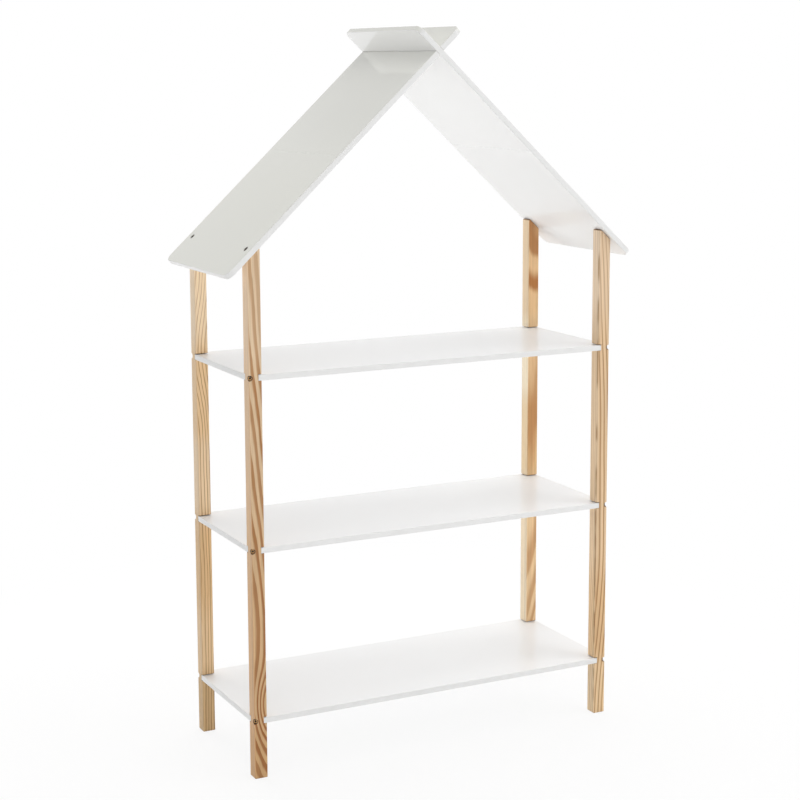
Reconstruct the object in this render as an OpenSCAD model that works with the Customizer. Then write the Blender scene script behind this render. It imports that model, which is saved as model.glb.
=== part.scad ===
// House shaped bookcase: four square posts, three shelves let into them corner to
// corner, and two roof boards that cross at the ridge. Millimetres.
// Origin on the floor under the middle of the case, +Z up, front towards -Y.

/* [Frame] */
// Width over the outer faces of the posts
frame_w = 860; // [600:10:1200]
// Depth over the outer faces of the posts
frame_d = 330; // [240:10:450]

/* [Posts] */
// Side of the square post
post_size = 28; // [25:1:40]
// Length of a post, from the floor to the flat at its top
post_length = 1106; // [1000:2:1400]
// Width of the flat left on the inner side of a post's sloping top
post_flat = 5; // [2:0.5:10]
// Radius along the four long edges of a post
post_edge_r = 2; // [0.5:0.5:4]

/* [Shelves] */
// Thickness of a shelf
shelf_t = 12; // [10:1:18]
// Height of the bottom shelf's upper face
bottom_shelf_z = 130; // [60:5:300]
// Height of the middle shelf's upper face
middle_shelf_z = 492; // [400:2:700]
// Height of the top shelf's upper face
top_shelf_z = 850; // [700:10:1000]

/* [Shelf joints] */
// Part of each outer face of a post left whole beside its outer edge at a slot
slot_land = 21; // [18:0.5:24]
// Free height above a shelf in its slot
slot_gap = 1.5; // [0.5:0.25:3]
// Gap between a shelf's cut corner and the bottom of its slot
corner_gap = 0.2; // [0.1:0.1:0.5]

/* [Roof] */
// Slope of the roof above the horizontal, in degrees
roof_angle = 43; // [35:1:50]
// Thickness of a roof board
roof_t = 12; // [10:1:16]
// Distance that the roof stands out past the posts at the front and at the back
roof_overhang = 10; // [4:1:40]
// Length of board past the outer face of the posts, along the slope
eave_length = 57; // [30:1:120]
// Length of board past the ridge crossing, along the slope
ridge_tail = 62; // [45:1:120]
// Radius of a roof board's four corners
roof_corner_r = 18; // [5:1:30]
// Gap all round in the halving joint at the ridge
halving_gap = 0.2; // [0.1:0.1:0.5]
// Gap between the roof boards and the sloping tops of the posts
roof_seat_gap = 0.2; // [0.1:0.1:0.5]

/* [Screws] */
// Diameter of a screw's shank
screw_d = 5; // [4:0.5:6]
// Diameter of a screw's countersunk head
head_d = 11; // [9:0.5:13]
// Height of the straight rim round a head
head_rim = 0.8; // [0.5:0.1:1.5]
// Width across the flats of the hexagonal socket
socket_width = 4; // [3:0.5:5]
// Depth of the socket
socket_depth = 2.5; // [1.5:0.25:3]
// Length of a screw's pointed end
tip_length = 4; // [2:0.5:6]
// Length of a shelf screw inside its shelf
shelf_screw_bite = 36; // [20:1:50]
// Length of a roof screw inside its post
roof_screw_bite = 18; // [12:1:19]
// Depth of a shelf screw's head below the sharp outer edge of the post
shelf_head_depth = 5.5; // [4.5:0.25:6.5]
// Depth of a roof screw's head below the roof's outer face
roof_head_depth = 0.4; // [0.2:0.1:1]
// Gap between a screw and its hole, on the radius
screw_gap = 0.15; // [0.1:0.05:0.3]

/* [Hidden] */

pine = [0.86, 0.70, 0.48];
white = [0.93, 0.93, 0.91];
bronze = [0.27, 0.17, 0.11];

$fn = 48;
// Overshoot of a cutting tool past the face it cuts
over = 1;
left = -1;
right = 1;
front = -1;
back = 1;
shelf_heights = [bottom_shelf_z, middle_shelf_z, top_shelf_z];

// Width and height of the slope cut on the top of a post
top_slope_w = post_size - post_flat;
top_slope_h = top_slope_w * tan(roof_angle);

// Height of the line where the outer faces of the two roof boards cross
roof_seat_x = frame_w / 2 - top_slope_w;
roof_drop = (roof_t + roof_seat_gap) / cos(roof_angle);
ridge_z = post_length + roof_drop + roof_seat_x * tan(roof_angle);

// Distances down the slope from that line: to a point of the underside at a given
// distance from the middle of the case, to the screws and to the eaves
function slope_to(x) = (x + roof_t * sin(roof_angle)) / cos(roof_angle);
roof_screw_run = slope_to(frame_w / 2 - top_slope_w / 2);
eave_run = slope_to(frame_w / 2) + eave_length;
roof_d = frame_d + 2 * roof_overhang;
post_inset_y = (frame_d - post_size) / 2;

// Cone of a countersunk head, which narrows at 45 degrees to the shank
head_cone = (head_d - screw_d) / 2;
slot_depth_point = slot_land / sqrt(2);
shelf_screw_length = slot_depth_point - shelf_head_depth + shelf_screw_bite;
roof_screw_length = roof_t - roof_head_depth + roof_screw_bite;

// ---- Shapes and places shared by the pieces ----

// Rectangle with round corners, from 0 to size
module rounded_outline(size, r) {
    translate([r, 0]) square([size.x - 2 * r, size.y]);
    translate([0, r]) square([size.x, size.y - 2 * r]);
    for (x = [r, size.x - r], y = [r, size.y - r])
        translate([x, y]) circle(r);
}

// Places a piece at one corner of the frame: its own origin goes to the frame's
// outer corner, and its +X and +Y point into the frame
module at_corner(side, end) {
    translate([side * frame_w / 2, end * frame_d / 2, 0])
        mirror([side == right ? 1 : 0, 0, 0])
        mirror([0, end == back ? 1 : 0, 0])
        children();
}

module at_all_corners() {
    for (side = [left, right], end = [front, back])
        at_corner(side, end) children();
}

// Places a piece on one slope of the roof: +X up the slope, +Z out of the roof,
// origin on the line where the two outer faces cross
module on_slope(side) {
    mirror([side == right ? 1 : 0, 0, 0])
        translate([0, 0, ridge_z])
        rotate([0, -roof_angle, 0])
        children();
}

// Screw along +Z with the face of its head at 0; grow widens it into its own hole
module screw_body(length, grow) {
    cylinder(h = head_rim, d = head_d + 2 * grow);
    translate([0, 0, head_rim])
        cylinder(h = head_cone, d1 = head_d + 2 * grow, d2 = screw_d + 2 * grow);
    cylinder(h = length - tip_length, d = screw_d + 2 * grow);
    translate([0, 0, length - tip_length])
        cylinder(h = tip_length, d1 = screw_d + 2 * grow, d2 = 1 + 2 * grow);
}

module screw(length) {
    difference() {
        screw_body(length, 0);
        translate([0, 0, -over])
            cylinder(h = socket_depth + over, d = socket_width / cos(30), $fn = 6);
    }
}

// Hole for a screw, open above the head over a given height
module screw_hole(length, open_above) {
    screw_body(length + screw_gap, screw_gap);
    translate([0, 0, -open_above])
        cylinder(h = open_above + over / 2, d = head_d + 2 * screw_gap);
}

// Places a screw on the diagonal of a frame corner, halfway up a shelf's edge
module on_corner_diagonal(shelf_z) {
    translate([0, 0, shelf_z - shelf_t / 2])
        rotate([0, 90, 45])
        translate([0, 0, shelf_head_depth])
        children();
}

// Places a screw square to a roof slope, over the post at one end
module on_roof_screw(side, end) {
    on_slope(side)
        translate([-roof_screw_run, end * post_inset_y, -roof_head_depth])
        mirror([0, 0, 1])
        children();
}

// ---- Posts ----

// Square post with its top cut to the slope of the roof on the outer side
module post_blank() {
    difference() {
        linear_extrude(post_length) rounded_outline([post_size, post_size], post_edge_r);
        translate([0, -over, post_length - top_slope_h])
            rotate([0, -roof_angle, 0])
            translate([-post_size, 0, 0])
            cube([3 * post_size, post_size + 2 * over, 2 * post_size]);
    }
}

// Slot sawn from the inner corner, square to the diagonal, for the corner of a shelf
module shelf_slot(shelf_z) {
    translate([0, 0, shelf_z - shelf_t])
        rotate([0, 0, 45])
        translate([slot_depth_point, -post_size, 0])
        cube([2 * post_size, 2 * post_size, shelf_t + slot_gap]);
}

module post(side, end) {
    color(pine) difference() {
        at_corner(side, end) difference() {
            post_blank();
            for (z = shelf_heights) {
                shelf_slot(z);
                on_corner_diagonal(z) screw_hole(shelf_screw_length, 2 * shelf_head_depth);
            }
        }
        on_roof_screw(side, end) screw_hole(roof_screw_length, over);
    }
}

module front_left_post() { post(left, front); }
module front_right_post() { post(right, front); }
module back_left_post() { post(left, back); }
module back_right_post() { post(right, back); }

// ---- Shelves ----

// Board flush with the outer faces of the posts, its corners cut square to the
// diagonals to meet the bottoms of the slots
module shelf(shelf_z) {
    cut = slot_depth_point + corner_gap;
    color(white) difference() {
        translate([-frame_w / 2, -frame_d / 2, shelf_z - shelf_t])
            cube([frame_w, frame_d, shelf_t]);
        at_all_corners() {
            translate([0, 0, shelf_z - shelf_t - over])
                rotate([0, 0, 45])
                translate([cut - 2 * post_size, -post_size, 0])
                cube([2 * post_size, 2 * post_size, shelf_t + 2 * over]);
            on_corner_diagonal(shelf_z) screw_hole(shelf_screw_length, over);
        }
    }
}

module bottom_shelf() { shelf(bottom_shelf_z); }
module middle_shelf() { shelf(middle_shelf_z); }
module top_shelf() { shelf(top_shelf_z); }

// ---- Roof ----

module roof_board() {
    translate([-eave_run, -roof_d / 2, -roof_t])
        linear_extrude(roof_t)
        rounded_outline([eave_run + ridge_tail, roof_d], roof_corner_r);
}

// Room for the half of the other board that passes through this one
module halving_slot(other_side, end) {
    depth = roof_d / 2 + halving_gap / 2;
    on_slope(other_side)
        translate([
            -2 * ridge_tail,
            end == front ? -roof_d / 2 - over : -halving_gap / 2,
            -roof_t - halving_gap
        ])
        cube([4 * ridge_tail, depth + over, roof_t + 2 * halving_gap]);
}

// Board with its two screw holes and, at the ridge, a slot to the middle of its
// depth from the given end
module roof_panel(side, slot_end) {
    color(white) difference() {
        on_slope(side) roof_board();
        halving_slot(-side, slot_end);
        for (end = [front, back])
            on_roof_screw(side, end) screw_hole(roof_screw_length, over);
    }
}

module left_roof_panel() { roof_panel(left, front); }
module right_roof_panel() { roof_panel(right, back); }

// ---- Screws ----

module shelf_screws(shelf_z) {
    color(bronze) at_all_corners()
        on_corner_diagonal(shelf_z) screw(shelf_screw_length);
}

module roof_screws(side) {
    color(bronze) for (end = [front, back])
        on_roof_screw(side, end) screw(roof_screw_length);
}

module bottom_shelf_screws() { shelf_screws(bottom_shelf_z); }
module middle_shelf_screws() { shelf_screws(middle_shelf_z); }
module top_shelf_screws() { shelf_screws(top_shelf_z); }
module left_roof_screws() { roof_screws(left); }
module right_roof_screws() { roof_screws(right); }

front_left_post();
front_right_post();
back_left_post();
back_right_post();
bottom_shelf();
middle_shelf();
top_shelf();
left_roof_panel();
right_roof_panel();
bottom_shelf_screws();
middle_shelf_screws();
top_shelf_screws();
left_roof_screws();
right_roof_screws();
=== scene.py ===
"""House shaped bookcase: four pine posts, three white shelves, two white roof boards that
cross at the ridge, and the bronze screws that hold them together.

Metres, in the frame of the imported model: +Z up, front towards -Y, floor at Z = 0.
"""

import math

import bmesh
import bpy
from mathutils import Matrix, Vector


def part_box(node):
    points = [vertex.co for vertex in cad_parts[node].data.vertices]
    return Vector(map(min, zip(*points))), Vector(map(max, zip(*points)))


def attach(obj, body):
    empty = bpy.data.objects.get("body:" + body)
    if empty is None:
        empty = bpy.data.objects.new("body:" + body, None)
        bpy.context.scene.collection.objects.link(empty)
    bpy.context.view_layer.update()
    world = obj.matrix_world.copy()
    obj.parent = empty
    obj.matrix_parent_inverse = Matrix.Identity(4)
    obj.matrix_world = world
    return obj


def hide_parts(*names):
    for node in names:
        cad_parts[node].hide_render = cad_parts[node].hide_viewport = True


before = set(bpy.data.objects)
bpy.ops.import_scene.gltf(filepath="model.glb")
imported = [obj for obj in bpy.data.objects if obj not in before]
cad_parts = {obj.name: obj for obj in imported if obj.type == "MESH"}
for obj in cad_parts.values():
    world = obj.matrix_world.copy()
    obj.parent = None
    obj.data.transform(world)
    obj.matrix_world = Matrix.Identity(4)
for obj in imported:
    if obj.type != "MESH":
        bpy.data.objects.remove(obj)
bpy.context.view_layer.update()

MM = 0.001

# Camera: where it stands, how it is turned in degrees, and its lens on a 36 mm sensor
CAMERA_PLACE = Vector((-1.766, -3.470, 1.468))
CAMERA_TURN = -26.89
CAMERA_DIP = 8.617
CAMERA_ROLL = -0.21
LENS = 80.905
SENSOR = 36.0
LENS_SHIFT_UP = -0.08

# Floor: a disc that fades into the white background between two shares of its radius. To
# the camera, FLOOR_WHITE of it shines, and the rest is matt and takes the shadow.
FLOOR_RADIUS = 1.6
FLOOR_SIDES = 96
FLOOR_GAP = 0.2 * MM
FLOOR_FADE = (0.45, 0.95)
FLOOR_WHITE = 0.85
FLOOR_PALE = (0.94, 0.94, 0.94, 1.0)

# Room: the level of its light, and how much that grows towards +X, +Y and +Z
WHITE = (1.0, 1.0, 1.0, 1.0)
SKY_LEVEL = 0.313
SKY_LEAN = (0.082, 0.071, 0.3)
SWEEP_LEVEL = 0.402
SWEEP_LEAN = (-0.132, -0.25, 0.0)

# Mirrored in a gloss, the room is white below the first height and grey above the second
MIRRORED_RISE = (0.30, 0.45)
MIRRORED_SKY = 0.62

# Lamps: distance from the middle of the bookcase, then side of the square, in metres
LIT_MIDDLE = Vector((0.0, 0.0, 0.75))
WIDE_LAMP = (4.2, 3.0)
LOW_LAMP = (3.0, 1.5)

# Sockets of a Mix node that blends colours
MIX_FIRST = 6
MIX_SECOND = 7
MIX_RESULT = 2

# What smooth noise is on average
NOISE_MIDDLE = 0.5

# Pine: how fast each pattern changes across the grain, both ways, and along it, per mm
BROAD_WANDER = (1 / 40, 1 / 40, 1 / 260)
FINE_WANDER = (1 / 9, 1 / 9, 1 / 60)
RESIN_DASH = (0.0, 0.0, 1 / 95)
FIBRE = (1.1, 1.1, 0.01)
STREAK = (0.2, 0.2, 0.002)
CLOUD = (0.03, 0.03, 0.006)

# Pine: how much the fibres, streaks and clouds shade the wood
FIBRE_SHADE = 0.2
STREAK_SHADE = 0.42
CLOUD_SHADE = 0.16

# Pine: how much later the latewood may start in its ring, and how strong it is at least
LATE_START = 0.2
FAINTEST_YEAR = 0.62

# Pine: heights in mm over which the rings change from foot to middle and middle to top
FOOT_PART = (60, 300)
TOP_PART = (800, 960)

# Pine: from the left face into the wood behind it, in mm from the post's axis
LEFT_FACE = (-13.9, -11.0)

# Pine: the noise at which a dash of resin begins and is full, how far up or down a face
# looks before it counts as a cut end, and the tones of both. The cut ends' tone is darker end
# grain and also painted shade for the gap where a post's top meets the roof.
DASH_EDGE = (0.44, 0.54)
END_TILT = (0.3, 0.8)
END_GRAIN_AND_GAP_SHADE = (0.3, 0.2, 0.12)
RESIN = (0.48, 0.35, 0.2)

# Pine: relief of latewood and fibres, the bump's strength and depth, and the roughness of
# the varnish over them
LATE_RELIEF = 0.5
FIBRE_RELIEF = 0.35
PINE_BUMP = (0.25, 0.12 * MM)
PINE_ROUGH = 0.46
FIBRE_ROUGH = 0.16
LATE_SMOOTH = 0.05
END_ROUGH = 0.2
VARNISH_IOR = 1.45

# Lacquer: roughness and coat where it is silky, then where it is glossy
LACQUER_ROUGH = (0.42, 0.07)
LACQUER_COAT = (0.3, 1.0)
COAT_ROUGH = 0.05
SILKY_IOR = 1.5
GLOSSY_IOR = 1.6

# Lacquer: how far below the roof's top the gloss begins and is full. A shelf never reaches
# the heights that would make it glossy.
ROOF_SILKY = 0.35
ROOF_GLOSSY = 0.15
NEVER_GLOSSY = (8.0, 9.0)

# Lacquer: slow clouds and orange peel, per metre; the whiteness between clouds and what a
# cloud adds; what both do to the roughness; the peel's strength and depth; and how far up a
# face looks before it takes the painted light of the upper side, a tint that is lighter on the
# shelves and warmer on the roof
LACQUER_CLOUD = 5.0
ORANGE_PEEL = 220.0
CLOUD_WHITE = (0.985, 0.03)
CLOUD_ROUGH = 0.05
PEEL_ROUGH = 0.02
PEEL_BUMP = (0.04, 0.05 * MM)
PAINTED_TOP_TILT = (0.2, 0.6)

# Bronze: its patches, per metre, and the black in the socket, both oxide and painted shade,
# and round the rim, painted shade of the gap round the head
BRONZE_PATCH = 700.0
PATCH_EDGE = (0.3, 0.7)
BRONZE_ROUGH = 0.4
PATCH_ROUGH = 0.2
RUBBED_METAL = 0.8
BLACK_OXIDE_AND_SHADE = (0.012, 0.009, 0.007, 1.0)

# Screws: where the socket ends and the rim of painted shade begins, in mm from the axis. The
# points of a screw within HEAD_FACE of its outer end lie round its axis.
SOCKET_EDGE = (2.3, 2.9)
SHADED_RIM_EDGE = (4.4, 4.9)
HEAD_FACE = 0.3 * MM

# Thickness of a roof board
ROOF_BOARD = 12 * MM

# Edges eased with sandpaper, and the chamfers on the posts' ends
POST_EASE = 0.6 * MM
BOARD_EASE = 1.1 * MM
SCREW_EASE = 0.25 * MM
EASE_SEGMENTS = 2
FOOT_CHAMFER = 1.0 * MM
TOP_CHAMFER = 1.8 * MM

# A post's end edges lie within END_ZONE of its foot, or above TOP_FROM. Each has a level or
# sloping face on one side and an upright face on the other, told by how far they face up.
END_ZONE = 0.01
TOP_FROM = 1.04
LEVEL_FACE = 0.5
UPRIGHT_FACE = 0.1

SHARP_ANGLE = math.radians(30)
CREASE_ANGLE = math.radians(50)
FLAT_ANGLE = math.radians(0.5)
SAME_POINT = 0.001 * MM


# ---- Shader arithmetic ----

class Wire:
    """One output of a shader node. A sum on wires adds Math nodes to the same finish."""

    def __init__(self, finish, socket):
        self.finish = finish
        self.socket = socket

    def __add__(self, other):
        return self.finish.math("ADD", self, other)

    def __sub__(self, other):
        return self.finish.math("SUBTRACT", self, other)

    def __rsub__(self, other):
        return self.finish.math("SUBTRACT", other, self)

    def __mul__(self, other):
        return self.finish.math("MULTIPLY", self, other)

    def __truediv__(self, other):
        return self.finish.math("DIVIDE", self, other)

    def __neg__(self):
        return self.finish.math("MULTIPLY", self, -1.0)

    __radd__ = __add__
    __rmul__ = __mul__


class Finish:
    """A material, or the world, in the making."""

    def __init__(self, owner):
        self.owner = owner
        owner.use_nodes = True
        self.tree = owner.node_tree
        self.tree.nodes.clear()

    def node(self, kind, settings, sockets, output=0):
        """Adds one node. Its settings are set first, then its sockets, by name or number."""
        made = self.tree.nodes.new("ShaderNode" + kind)
        for key, value in settings.items():
            setattr(made, key, value)
        for key, value in sockets.items():
            if isinstance(value, Wire):
                self.tree.links.new(value.socket, made.inputs[key])
            else:
                made.inputs[key].default_value = value
        return Wire(self, made.outputs[output])

    def math(self, operation, *values):
        return self.node("Math", {"operation": operation}, dict(enumerate(values)))

    def vector(self, operation, *values):
        return self.node("VectorMath", {"operation": operation}, dict(enumerate(values)))

    def dot(self, first, second):
        """The dot product of two vectors, which is a number."""
        return self.node("VectorMath", {"operation": "DOT_PRODUCT"}, {0: first, 1: second}, 1)

    def scaled(self, wire, share):
        """A vector or colour times a number or a wire."""
        return self.node("VectorMath", {"operation": "SCALE"}, {0: wire, "Scale": share})

    def parts(self, wire):
        """The X, Y and Z of a vector."""
        split = self.node("SeparateXYZ", {}, {0: wire}).socket.node
        return [Wire(self, output) for output in split.outputs]

    def place(self):
        """The point on the piece, in metres."""
        return self.node("TexCoord", {}, {}, "Object")

    def facing(self):
        """The way that the surface faces."""
        return self.node("NewGeometry", {}, {}, "Normal")

    def mix(self, share, first, second):
        """Blends two colours."""
        sockets = {0: share, MIX_FIRST: first, MIX_SECOND: second}
        return self.node("Mix", {"data_type": "RGBA"}, sockets, MIX_RESULT)

    def step(self, value, start, end):
        """Goes smoothly from 0 at start to 1 at end, upwards or downwards."""
        settings = {"interpolation_type": "SMOOTHSTEP"}
        return self.node("MapRange", settings, {0: value, 1: start, 2: end})

    def noise(self, where, scale, detail=2.0):
        """Smooth noise; scale holds one number or three."""
        if isinstance(scale, tuple):
            where = self.vector("MULTIPLY", where, scale)
            scale = 1.0
        return self.node("TexNoise", {}, {"Vector": where, "Scale": scale, "Detail": detail})

    def bump(self, height, strength, depth):
        return self.node("Bump", {}, {"Strength": strength, "Distance": depth, "Height": height})

    def surface(self, shader):
        """Ends the finish with its shader."""
        kind = "OutputWorld" if isinstance(self.owner, bpy.types.World) else "OutputMaterial"
        end = self.tree.nodes.new("ShaderNode" + kind)
        self.tree.links.new(shader.socket, end.inputs["Surface"])
        return self.owner


def tint(red, green, blue):
    """A colour as the eye reads it, from 0 to 255, as the linear colour of a socket."""
    def linear(value):
        share = value / 255
        return share / 12.92 if share <= 0.04045 else ((share + 0.055) / 1.055) ** 2.4
    return (linear(red), linear(green), linear(blue), 1.0)


def new_finish(name):
    return Finish(bpy.data.materials.new(name))


# ---- Pine ----

def pine(name, middle, log):
    """Clear varnished pine sawn from one log. middle is the post's own axis, and log says
    how the post lay in the tree."""
    finish = new_finish(name)
    centred = finish.vector("SUBTRACT", finish.place(), (middle.x, middle.y, 0.0))
    here = finish.scaled(centred, 1 / MM)
    x, y, z = finish.parts(here)
    side = 1 - finish.step(x, *LEFT_FACE)
    late = latewood(finish, log, pith_distance(finish, here, log))
    late = late * ring_depth(finish, z, *log["depth"]) * (1 - side * log["side_plain"])

    wood = finish.mix(late, log["early"], log["late"])
    for resin in log["resin"]:
        wood = toned(finish, wood, resin_streak(finish, here, *resin), RESIN)
    # Painted light: the left face takes a tint of its own, lighter on most posts, in place of
    # the light that falls on it
    wood = toned(finish, wood, side, log["side"])
    # Tones along or across the post. On the back left post some are painted shade below its
    # shelves
    for way, start, end, colour in log["tones"]:
        along = {"x": x, "z": z}[way]
        wood = toned(finish, wood, finish.step(along, start, end), colour)

    # Cut ends drink more varnish, so they are darker. Their tone is also painted shade, darker
    # still, for the shadow in the gap where a post's top meets the roof
    upright = finish.math("ABSOLUTE", finish.parts(finish.facing())[2])
    cut_end = finish.step(upright, *END_TILT)
    wood = toned(finish, wood, cut_end, END_GRAIN_AND_GAP_SHADE)

    # Fibres, faint streaks along the grain and slow changes of tone
    fibre = finish.noise(here, FIBRE)
    streak = finish.noise(here, STREAK)
    cloud = finish.noise(here, CLOUD)
    shade = 1 + (fibre - NOISE_MIDDLE) * FIBRE_SHADE
    shade = shade + (streak - NOISE_MIDDLE) * STREAK_SHADE
    shade = shade + (cloud - NOISE_MIDDLE) * CLOUD_SHADE

    rough = PINE_ROUGH + (fibre - NOISE_MIDDLE) * FIBRE_ROUGH
    rough = rough - late * LATE_SMOOTH + cut_end * END_ROUGH
    return finish.surface(finish.node("BsdfPrincipled", {}, {
        "Base Color": finish.scaled(wood, shade),
        "Roughness": rough,
        "Normal": finish.bump(late * LATE_RELIEF + fibre * FIBRE_RELIEF, *PINE_BUMP),
        "IOR": VARNISH_IOR,
    }))


def pith_distance(finish, here, log):
    """Distance from the pith in mm. The pith leans and bows along the post, and the rings
    bulge round branches and wander, as the tree never grew evenly."""
    x, y, z = finish.parts(here)
    above = z - log["bow_at"]
    bent = above * above * (MM * MM)
    pith_x = log["pith"][0] + above * (log["lean"][0] * MM) + bent * log["bow"][0]
    pith_y = log["pith"][1] + above * (log["lean"][1] * MM) + bent * log["bow"][1]
    across = x - pith_x
    along = y - pith_y
    radius = finish.math("SQRT", across * across + along * along)
    for swirl in log["swirls"]:
        radius = radius + swirl_rise(finish, here, *swirl)
    broad = finish.noise(here, BROAD_WANDER, 1.0) - NOISE_MIDDLE
    fine = finish.noise(here, FINE_WANDER) - NOISE_MIDDLE
    return radius + broad * log["wander"] + fine * log["ripple"]


def latewood(finish, log, radius):
    """How much latewood there is: each ring darkens slowly, then ends sharply."""
    ring = radius / log["ring"] + log["phase"]
    share = finish.math("FRACT", ring)
    count = finish.math("FLOOR", ring)
    year = finish.node("TexWhiteNoise", {"noise_dimensions": "1D"}, {"W": count})
    start = log["start"] + year * LATE_START
    rising = finish.step(share, start, start + log["rise"])
    ending = 1 - finish.step(share, log["end"], 1.0)
    return rising * ending * (FAINTEST_YEAR + year * (1 - FAINTEST_YEAR))


def ring_depth(finish, z, foot, middle, top):
    """How strongly the rings show at the foot, in the middle and at the top of a post."""
    depth = foot + finish.step(z, *FOOT_PART) * (middle - foot)
    return depth + finish.step(z, *TOP_PART) * (top - middle)


def bell(finish, here, middle, shrink):
    """1 at the middle, and falls off smoothly all round; shrink holds 1 / width each way."""
    offset = finish.vector("SUBTRACT", here, middle)
    squeezed = finish.vector("MULTIPLY", offset, shrink)
    return finish.math("EXPONENT", -finish.dot(squeezed, squeezed))


def swirl_rise(finish, here, x, y, z, width, height, rise):
    """How far the rings bulge round a branch that grew just beside the post."""
    return bell(finish, here, (x, y, z), (1 / width, 1 / width, 1 / height)) * rise


def resin_streak(finish, here, x, y, width, depth):
    """A dark resin streak along the post, broken into dashes."""
    dashes = finish.step(finish.noise(here, RESIN_DASH, 1.0), *DASH_EDGE)
    return bell(finish, here, (x, y, 0.0), (1 / width, 1 / width, 0.0)) * dashes * depth


def toned(finish, wood, share, colour):
    """Multiplies the wood by a colour, by the share given."""
    return finish.mix(share, wood, finish.vector("MULTIPLY", wood, colour))


# ---- Lacquer and bronze ----

def white_lacquer(name, painted_top_tint, under, glossy, ior):
    """White lacquer sprayed on board, with the faintest orange peel. Faces that look up take a
    tint of painted light: lighter on the shelves, warmer on the roof. The lacquer is silky, and
    turns into a full gloss between two heights."""
    finish = new_finish(name)
    place = finish.place()
    # Painted light: faces that look up take the upper tint, lighter on the shelves and warmer on
    # the roof
    painted_top_light = finish.step(finish.parts(finish.facing())[2], *PAINTED_TOP_TILT)
    gloss = finish.step(finish.parts(place)[2], *glossy)
    cloud = finish.noise(place, LACQUER_CLOUD)
    peel = finish.noise(place, ORANGE_PEEL)
    whiteness = CLOUD_WHITE[0] + cloud * CLOUD_WHITE[1]
    rough = between(LACQUER_ROUGH, gloss)
    rough = rough + (cloud - NOISE_MIDDLE) * CLOUD_ROUGH + (peel - NOISE_MIDDLE) * PEEL_ROUGH
    return finish.surface(finish.node("BsdfPrincipled", {}, {
        "Base Color": finish.scaled(finish.mix(painted_top_light, under, painted_top_tint), whiteness),
        "Roughness": rough,
        "Normal": finish.bump(peel, *PEEL_BUMP),
        "IOR": ior,
        "Coat Weight": between(LACQUER_COAT, gloss),
        "Coat Roughness": COAT_ROUGH,
        "Coat IOR": ior,
    }))


def between(ends, share):
    """The first of two numbers where share is 0, the second where it is 1."""
    return ends[0] + share * (ends[1] - ends[0])


def antique_bronze(name, dark, rubbed):
    """Antique bronze plating. The face of the head is rubbed bright in patches. Its rim is
    painted black as the shade of the gap round the head, and its socket is black with oxide and
    with painted shade. from_axis is the distance in mm from the screw's own axis."""
    finish = new_finish(name)
    patch = finish.noise(finish.place(), BRONZE_PATCH, 3.0)
    from_axis = finish.node("Attribute", {"attribute_name": "from_axis"}, {}, "Fac")
    face = finish.step(from_axis, *SOCKET_EDGE) * (1 - finish.step(from_axis, *SHADED_RIM_EDGE))
    plating = finish.mix(finish.step(patch, *PATCH_EDGE), dark, rubbed)
    return finish.surface(finish.node("BsdfPrincipled", {}, {
        # Painted shade: the rim is black for the shadow in the gap round the head, the socket
        # for its oxide and its shade
        "Base Color": finish.mix(face, BLACK_OXIDE_AND_SHADE, plating),
        "Roughness": BRONZE_ROUGH + (patch - NOISE_MIDDLE) * PATCH_ROUGH,
        "Metallic": face * RUBBED_METAL,
    }))


# ---- Pieces ----

def copy_of(node):
    """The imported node's shape with its loose triangles merged into whole faces."""
    shape = bmesh.new()
    shape.from_mesh(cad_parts[node].data)
    bmesh.ops.remove_doubles(shape, verts=shape.verts, dist=SAME_POINT)
    bmesh.ops.dissolve_limit(
        shape,
        angle_limit=FLAT_ANGLE,
        verts=shape.verts,
        edges=shape.edges,
        use_dissolve_boundaries=False,
    )
    return shape


def cut_back(shape, edges, offset, segments):
    """Bevels the edges: a chamfer with one segment, a rounding with more."""
    bmesh.ops.bevel(
        shape,
        geom=edges,
        offset=offset,
        offset_type="OFFSET",
        affect="EDGES",
        segments=segments,
        profile=0.5,
        material=-1,
        clamp_overlap=False,
    )


def ease_edges(shape, radius):
    """Rounds every sharp edge by a small radius."""
    sharp = [e for e in shape.edges if e.is_manifold and e.calc_face_angle() > SHARP_ANGLE]
    cut_back(shape, sharp, radius, EASE_SEGMENTS)


def chamfer_end(shape, low, high, offset):
    """Cuts a chamfer round the end of a post that lies between two heights."""
    cut_back(shape, [e for e in shape.edges if is_end_edge(e, low, high)], offset, 1)


def is_end_edge(edge, low, high):
    """Whether an edge bounds the foot or the sloping top of a post."""
    if not all(low <= v.co.z <= high for v in edge.verts):
        return False
    rises = [abs(face.normal.z) for face in edge.link_faces]
    return len(rises) == 2 and max(rises) > LEVEL_FACE and min(rises) < UPRIGHT_FACE


def finished(name, shape, material, slot, *nodes):
    """Makes the piece from its shape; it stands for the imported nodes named. Its eased edges
    are shaded smooth, and its flat faces stay flat."""
    mesh = bpy.data.meshes.new(name)
    shape.to_mesh(mesh)
    shape.free()
    mesh.materials.append(material)
    mesh.shade_smooth()
    mesh.set_sharp_from_angle(angle=CREASE_ANGLE)
    piece = bpy.data.objects.new(name, mesh)
    bpy.context.scene.collection.objects.link(piece)
    weighted = piece.modifiers.new("flat_faces", "WEIGHTED_NORMAL")
    weighted.keep_sharp = True
    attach(piece, "root")
    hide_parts(*nodes)


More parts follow.
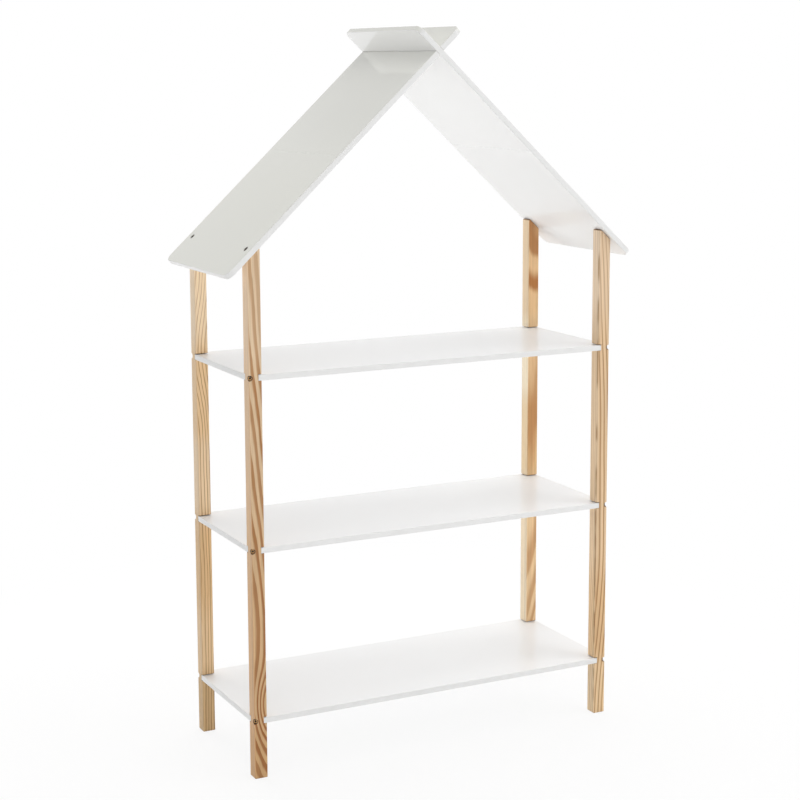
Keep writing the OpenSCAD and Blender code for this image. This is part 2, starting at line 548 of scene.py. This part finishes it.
# How each post lay in its tree. Lengths are in mm from the post's axis and the floor.
#   pith, lean, bow, bow_at: the pith at the height bow_at, its lean in mm per metre of
#     height, and its bow in mm at one metre from there
#   ring, phase: the width of a ring, and a shift of them all as a share of a ring
#   start, rise, end: shares of a ring at which its latewood starts, over which it rises,
#     and from which it ends
#   wander, ripple: broad and fine unevenness
#   early, late: the colours of earlywood and latewood
#   swirls: x, y and z of a branch, width and height of the bulge, and how far it rises
#   resin: x and y of a streak, its width and its depth
#   depth: how strongly the rings show at the foot, in the middle and at the top
#   side, side_plain: a tint of painted light on the left face, lighter on most posts, and
#     how much fainter its rings are
#   tones: the way along which a tone comes in, where it starts and is full, and the tone
PLAIN_LOG = {
    "lean": (0.0, 0.0), "bow": (0.0, 0.0), "bow_at": 500.0, "phase": 0.0,
    "start": 0.2, "rise": 0.42, "end": 0.93, "ripple": 1.2,
    "swirls": [], "resin": [], "tones": [],
}
LOGS = {
    "front_left": {
        "pith": (-60.0, 226.0), "lean": (0.0, 38.0), "bow": (0.0, -20.0),
        "start": 0.18, "rise": 0.3, "ripple": 0.9, "phase": -0.12,
        "swirls": [
            (-20.0, -14.0, 60.0, 70.0, 260.0, 14.0),
            (20.0, -14.0, 154.0, 30.0, 68.0, 11.0),
        ],
        "ring": 3.3, "wander": 3.0, "depth": (1.0, 0.85, 0.6),
        "early": tint(224, 195, 158), "late": tint(162, 102, 38),
        "side": (1.22, 1.22, 1.26), "side_plain": 0.5,
        "tones": [
            ("z", 760.0, 300.0, (0.87, 0.77, 0.64)),
            ("z", 150.0, 60.0, (0.96, 0.92, 0.82)),
            ("z", 820.0, 900.0, (1.09, 1.13, 1.2)),
        ],
    },
    "front_right": {
        "pith": (-100.0, 130.0), "bow": (-70.0, 0.0), "bow_at": 516.0,
        "start": 0.34, "rise": 0.4, "ripple": 0.5,
        "swirls": [(-60.0, -14.0, 80.0, 140.0, 150.0, 7.0)],
        "resin": [(-14.0, -11.0, 2.6, 1.0)],
        "ring": 5.8, "wander": 5.0, "depth": (1.0, 1.0, 0.6),
        "early": tint(233, 202, 162), "late": tint(164, 113, 62),
        "side": (1.02, 1.07, 1.15), "side_plain": 0.4,
        "tones": [
            ("z", 840.0, 980.0, (1.05, 1.09, 1.2)),
            ("z", 400.0, 260.0, (0.95, 0.88, 0.77)),
            ("z", 160.0, 100.0, (1.12, 1.22, 1.35)),
        ],
    },
    "back_left": {
        "pith": (-70.0, 120.0), "start": 0.48, "rise": 0.24, "end": 0.9,
        "swirls": [
            (-20.0, -14.0, 850.0, 70.0, 120.0, 10.0),
            (-14.0, 6.0, 790.0, 10.0, 28.0, 5.0),
        ],
        "ring": 3.1, "wander": 5.0, "depth": (0.95, 0.85, 0.6),
        "early": tint(246, 217, 178), "late": tint(162, 106, 42),
        "side": (0.96, 0.99, 1.05), "side_plain": 0.3,
        "tones": [
            # Painted shade: darker below the middle shelf, in place of its shadow, then lighter
            # again further down
            ("z", 540.0, 440.0, (0.87, 0.78, 0.63)),
            ("z", 330.0, 230.0, (1.09, 1.16, 1.3)),
            # Painted shade: darker on the foot below the bottom shelf, in place of its shadow
            ("z", 170.0, 100.0, (0.82, 0.78, 0.68)),
            ("z", 640.0, 690.0, (0.99, 0.93, 0.82)),
            ("z", 830.0, 910.0, (1.09, 1.2, 1.42)),
        ],
    },
    "back_right": {
        "pith": (-6.0, 397.9), "lean": (32.0, -5.0), "bow_at": 600.0,
        "start": 0.1, "end": 0.8, "ripple": 0.4,
        "swirls": [
            (0.0, 0.0, 1080.0, 200.0, 120.0, -4.8),
            (40.0, 0.0, -150.0, 60.0, 300.0, 26.0),
        ],
        "ring": 3.2, "wander": 2.0, "depth": (0.6, 0.8, 1.0),
        "early": tint(241, 214, 174), "late": tint(178, 117, 54),
        "side": (1.02, 1.12, 1.28), "side_plain": 0.7,
        "tones": [
            ("x", -14.0, -11.5, (0.94, 0.86, 0.76)),
            ("z", 480.0, 520.0, (0.97, 0.91, 0.8)),
            ("z", 650.0, 720.0, (1.13, 1.27, 1.52)),
            ("z", 840.0, 900.0, (0.92, 0.82, 0.73)),
        ],
    },
}


def make_posts():
    for corner, log in LOGS.items():
        node = corner + "_post"
        low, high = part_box(node)
        material = pine("pine_" + corner, (low + high) / 2, {**PLAIN_LOG, **log})
        shape = copy_of(node)
        chamfer_end(shape, low.z - END_ZONE, low.z + END_ZONE, FOOT_CHAMFER)
        chamfer_end(shape, TOP_FROM, high.z + END_ZONE, TOP_CHAMFER)
        ease_edges(shape, POST_EASE)
        finished("pine_post_" + corner, shape, material, "natural_pine", node)


def make_boards():
    # The upper tints are painted light on the faces that look up: lighter on the shelves, warmer
    # on the roof
    shelf_white = white_lacquer(
        "silky_white_shelf",
        painted_top_tint=tint(248, 248, 248),
        under=tint(243, 243, 242),
        glossy=NEVER_GLOSSY,
        ior=SILKY_IOR,
    )
    roof_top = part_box("left_roof_panel")[1].z
    roof_white = white_lacquer(
        "white_roof",
        painted_top_tint=tint(243, 243, 235),
        under=tint(243, 243, 242),
        glossy=(roof_top - ROOF_SILKY, roof_top - ROOF_GLOSSY),
        ior=GLOSSY_IOR,
    )
    shelves = ("bottom_shelf", "middle_shelf", "top_shelf")
    for node in shelves + ("left_roof_panel", "right_roof_panel"):
        material = shelf_white if node in shelves else roof_white
        shape = copy_of(node)
        ease_edges(shape, BOARD_EASE)
        finished("white_" + node, shape, material, "white_lacquer", node)


def screw_axes(node):
    """For each screw of a node, the way out of its head and the side that it is on."""
    if "roof" in node:
        low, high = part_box("left_roof_panel")
        slope = math.atan2(high.z - low.z - ROOF_BOARD, high.x - low.x - ROOF_BOARD)
        side = -1 if "left" in node else 1
        outward = Vector((side * math.sin(slope), 0.0, math.cos(slope)))
        return [(outward, Vector((0.0, end, 0.0))) for end in (-1, 1)]
    corners = [Vector((side, end, 0.0)) for side in (-1, 1) for end in (-1, 1)]
    return [(corner.normalized(), corner) for corner in corners]


def mark_axes(shape, node):
    """Stores how far, in mm, each point of a screw lies from that screw's own axis."""
    layer = shape.verts.layers.float.new("from_axis")
    for outward, corner in screw_axes(node):
        own = [v for v in shape.verts if all(v.co[i] * corner[i] >= 0 for i in range(3))]
        top = max(v.co.dot(outward) for v in own)
        face = [v.co for v in own if v.co.dot(outward) > top - HEAD_FACE]
        middle = sum(face, Vector()) / len(face)
        for vert in own:
            offset = vert.co - middle
            vert[layer] = (offset - outward * offset.dot(outward)).length / MM


def make_screws():
    shelf_bronze = antique_bronze("antique_bronze", tint(150, 104, 62), tint(232, 186, 126))
    # Painted shade: the roof screws take a darker, greyer copy of the bronze, in place of the
    # shade they lie in
    shaded_roof_bronze = antique_bronze("bronze_painted_shade", tint(70, 60, 54), tint(150, 134, 120))
    for holder in ("bottom_shelf", "middle_shelf", "top_shelf", "left_roof", "right_roof"):
        node = holder + "_screws"
        material = shaded_roof_bronze if "roof" in holder else shelf_bronze
        shape = copy_of(node)
        ease_edges(shape, SCREW_EASE)
        mark_axes(shape, node)
        finished("bronze_" + node, shape, material, "bronze_screw", node)


# ---- Room, light and camera ----

def make_camera():
    """A new camera looks straight down. It is rolled, raised to its dip, then turned."""
    turn = Matrix.Rotation(math.radians(CAMERA_TURN), 4, "Z")
    dip = Matrix.Rotation(math.radians(90 - CAMERA_DIP), 4, "X")
    roll = Matrix.Rotation(math.radians(CAMERA_ROLL), 4, "Z")
    lens = bpy.data.cameras.new("camera")
    lens.lens = LENS
    lens.sensor_width = SENSOR
    lens.shift_y = LENS_SHIFT_UP
    camera = bpy.data.objects.new("camera", lens)
    camera.matrix_world = Matrix.Translation(CAMERA_PLACE) @ turn @ dip @ roll
    bpy.context.scene.collection.objects.link(camera)
    bpy.context.scene.camera = camera


def ray_kinds(finish):
    """Two wires: 1 for rays straight from the camera, 1 for rays off a gloss or through
    glass, and else 0."""
    path = finish.node("LightPath", {}, {}).socket.node
    seen, gloss, glass = [
        Wire(finish, path.outputs[kind])
        for kind in ("Is Camera Ray", "Is Glossy Ray", "Is Transmission Ray")
    ]
    return seen, finish.math("MINIMUM", gloss + glass, 1.0)


def make_floor():
    """Plain pale floor, as wide as a studio table. To the camera it is white, apart from
    the bookcase's soft shadow, and it fades into the white background at its rim."""
    shape = bmesh.new()
    bmesh.ops.create_circle(shape, cap_ends=True, segments=FLOOR_SIDES, radius=FLOOR_RADIUS)
    bmesh.ops.translate(shape, verts=shape.verts, vec=(0, 0, -FLOOR_GAP))
    mesh = bpy.data.meshes.new("floor")
    shape.to_mesh(mesh)
    shape.free()
    finish = new_finish("pale_floor")
    away = finish.node("VectorMath", {"operation": "LENGTH"}, {0: finish.place()}, 1)
    rim = finish.step(away, FLOOR_RADIUS * FLOOR_FADE[0], FLOOR_RADIUS * FLOOR_FADE[1])
    seen, mirrored = ray_kinds(finish)
    share = seen * between((FLOOR_WHITE, 1.0), rim) + mirrored
    matt = finish.node("BsdfDiffuse", {}, {"Color": FLOOR_PALE})
    white = finish.node("Emission", {}, {"Color": WHITE, "Strength": 1.0})
    surface = finish.node("MixShader", {}, {0: share, 1: matt, 2: white})
    mesh.materials.append(finish.surface(surface))
    floor = bpy.data.objects.new("floor", mesh)
    bpy.context.scene.collection.objects.link(floor)


def make_world():
    """White to the camera. Its light is soft, from a dim ceiling and a white sweep below the
    horizon. In mirrors the sweep is white and the ceiling grey."""
    world = bpy.data.worlds.new("studio")
    bpy.context.scene.world = world
    finish = Finish(world)
    seen, mirrored = ray_kinds(finish)
    towards = finish.node("TexCoord", {}, {}, "Generated")
    height = finish.parts(towards)[2]
    below = finish.math("LESS_THAN", height, 0.0)
    sky = finish.dot(towards, SKY_LEAN) + SKY_LEVEL
    sweep = finish.dot(towards, SWEEP_LEAN) + SWEEP_LEVEL
    lit = grey(finish, sky + sweep * below)
    ceiling = finish.step(height, *MIRRORED_RISE)
    reflected = grey(finish, between((1.0, MIRRORED_SKY), ceiling))
    light = finish.mix(seen, finish.mix(mirrored, lit, reflected), WHITE)
    finish.surface(finish.node("Background", {}, {"Color": light, "Strength": 1.0}))


def grey(finish, level):
    return finish.node("CombineColor", {}, {0: level, 1: level, 2: level})


def make_lamp(name, towards, distance_and_size, watts):
    """A square soft lamp that shines at the middle of the bookcase."""
    distance, size = distance_and_size
    lamp = bpy.data.lights.new(name, "AREA")
    lamp.shape = "SQUARE"
    lamp.size = size
    lamp.energy = watts
    holder = bpy.data.objects.new(name, lamp)
    holder.visible_glossy = False
    way = Vector(towards).normalized()
    aim = (-way).to_track_quat("-Z", "Y").to_matrix().to_4x4()
    holder.matrix_world = Matrix.Translation(LIT_MIDDLE + way * distance) @ aim
    bpy.context.scene.collection.objects.link(holder)


make_camera()
make_world()
make_floor()
make_lamp("top", (0.0, 0.0, 1.0), WIDE_LAMP, 48.0)
make_lamp("back", (0.0, 1.0, 0.35), WIDE_LAMP, 40.0)
make_lamp("right_front", (0.9, -0.7, 0.6), WIDE_LAMP, 49.6)
make_lamp("right_back", (0.8, 0.8, 0.6), WIDE_LAMP, 30.4)
make_lamp("low_front", (-0.2, -0.9, -0.05), LOW_LAMP, 9.9)
make_lamp("low_back", (-0.3, 0.9, -0.05), LOW_LAMP, 37.0)
make_posts()
make_boards()
make_screws()

bpy.context.scene.view_settings.view_transform = "Standard"
